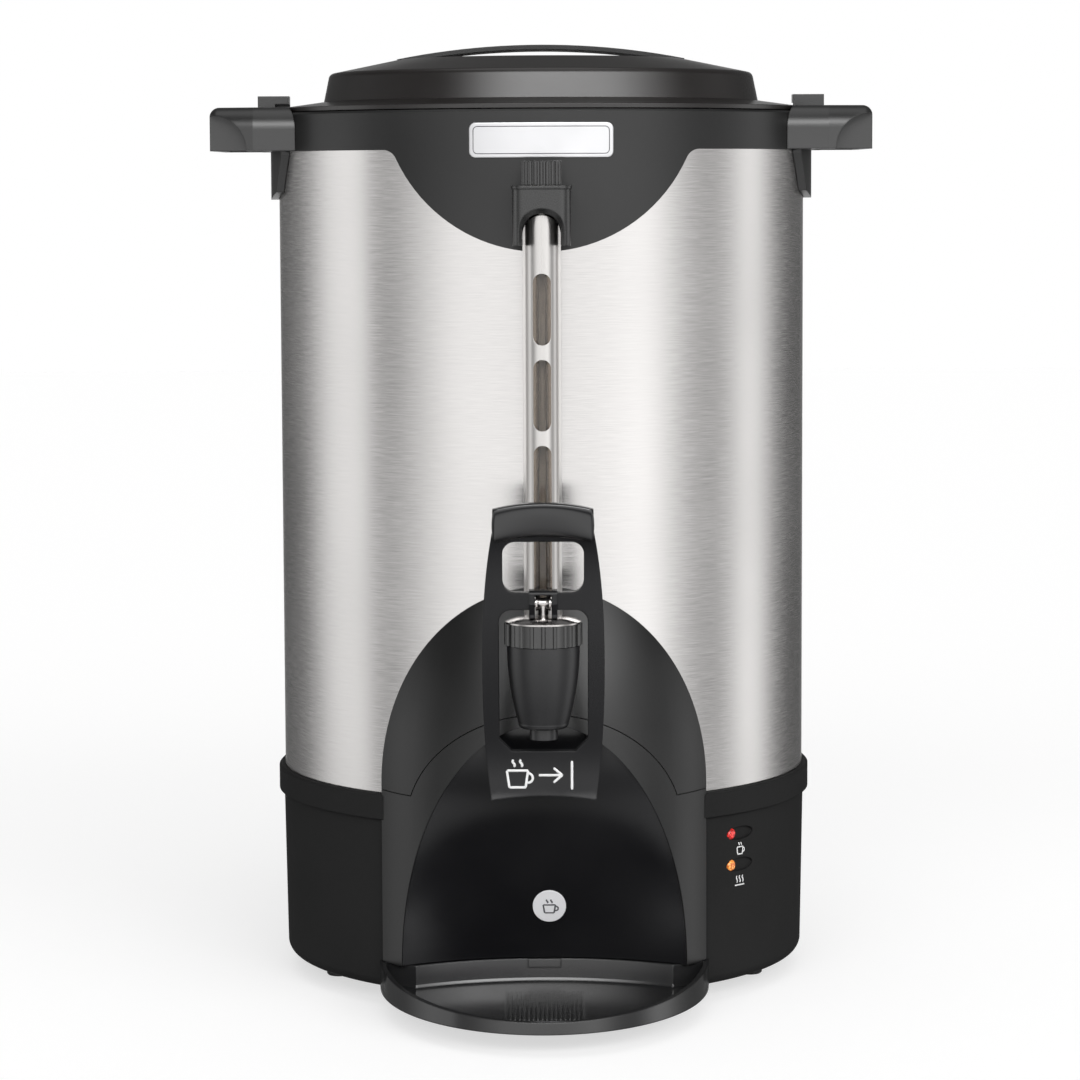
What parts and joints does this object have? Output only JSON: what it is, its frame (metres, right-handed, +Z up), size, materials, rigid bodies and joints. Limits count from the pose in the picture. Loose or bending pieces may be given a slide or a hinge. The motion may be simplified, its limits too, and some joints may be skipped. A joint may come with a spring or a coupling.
{
  "type": "coffee urn",
  "caption": "Percolator coffee urn: double-wall brushed steel body, cup-press lever faucet, sight gauge, locking lid, side handles and a slide-out drip tray.",
  "frame": {"origin": "on the floor that the feet stand on, under the urn's vertical axis", "axes": "+Z up along the urn's axis, -Y towards the faucet at the front, +X towards the side with the lamps"},
  "size_m": [0.3364, 0.3587, 0.4818],
  "materials": {
    "satin_black": "fine satin moulding",
    "gloss_black": "polished moulding",
    "faucet_black": "satin moulding",
    "shell_steel": "brushed round the shell",
    "gauge_steel": "polished along its length",
    "tank_steel": "drawn stainless steel",
    "plate_zinc": "zinc plate",
    "cap_chrome": "polished",
    "gauge_glass": "clear",
    "black_rubber": "matte",
    "seal_silicone": "translucent silicone",
    "lamp_red": "clear red lens",
    "lamp_amber": "clear amber lens",
    "spring_steel": "drawn wire",
    "heater_metal": "cast"
  },
  "bodies": {
    "root": {"arch_frame": "satin_black", "base_housing": "satin_black", "base_plate": "plate_zinc", "basket": "tank_steel", "basket_cover": "tank_steel", "bonnet": "faucet_black", "bonnet_cap": "cap_chrome", "brew_lamp": "lamp_red", "cord_bushing": "black_rubber", "faucet_body": "faucet_black", "faucet_shank": "tank_steel", "feet": "black_rubber", "front_cover": "satin_black", "gauge_bracket": "satin_black", "gauge_seal": "seal_silicone", "gauge_shield": "gauge_steel", "gauge_tube": "gauge_glass", "handle_screws": "plate_zinc", "heater_ring": "heater_metal", "inner_tank": "tank_steel", "left_handle": "satin_black", "outer_shell": "shell_steel", "plate_screws": "plate_zinc", "pump_tube": "tank_steel", "right_handle": "satin_black", "shank_gaskets": "seal_silicone", "shank_nut": "tank_steel", "splash_panel": "gloss_black", "stud_nut": "plate_zinc", "thermal_fuse": "heater_metal", "thermostat": "heater_metal", "tie_stud": "tank_steel", "top_collar": "satin_black", "warm_lamp": "lamp_amber"},
    "stem": {"valve_stem": "cap_chrome", "seat_cup": "seal_silicone", "stem_spring": "spring_steel"},
    "lever": {"cup_lever": "gloss_black", "lever_pin": "cap_chrome"},
    "nut": {"bonnet_nut": "satin_black"},
    "knob": {"gauge_knob": "satin_black"},
    "tray": {"drip_tray": "gloss_black"},
    "seal": {"lid_seal": "seal_silicone"},
    "lid": {"lid_shell": "satin_black", "lid_grip": "satin_black"}
  },
  "joints": [
    {"name": "stem_lift", "type": "slide", "parent": "root", "child": "stem", "axis": [0, 0, 1], "range_m": [0, 0.0021], "stiffness_N_per_m": 500, "springref_m": -0.004, "deforming": ["stem_spring"]},
    {"name": "lever_tilt", "type": "hinge", "parent": "stem", "child": "lever", "pos_m": [0, -0.184, 0.2123], "axis": [1, 0, 0], "range_deg": [0, 11]},
    {"name": "nut_turn", "type": "hinge", "parent": "root", "child": "nut", "pos_m": [0, -0.184, 0.1977], "axis": [0, 0, 1], "range_deg": [0, 360]},
    {"name": "knob_turn", "type": "hinge", "parent": "root", "child": "knob", "pos_m": [0, -0.1515, 0.416], "axis": [0, 0, 1], "range_deg": [0, 360]},
    {"name": "tray_slide", "type": "slide", "parent": "root", "child": "tray", "axis": [0, -1, 0], "range_m": [0, 0.06]},
    {"name": "lid_lift", "type": "slide", "parent": "root", "child": "seal", "axis": [0, 0, 1], "range_m": [0, 0.08]},
    {"name": "lid_turn", "type": "hinge", "parent": "seal", "child": "lid", "pos_m": [0, 0, 0.447], "axis": [0, 0, -1], "range_deg": [0, 7.5]}
  ],
  "couplings": [
    {"joint": "stem_lift", "follows": "lever_tilt", "m_per_rad": 0.0109}
  ]
}
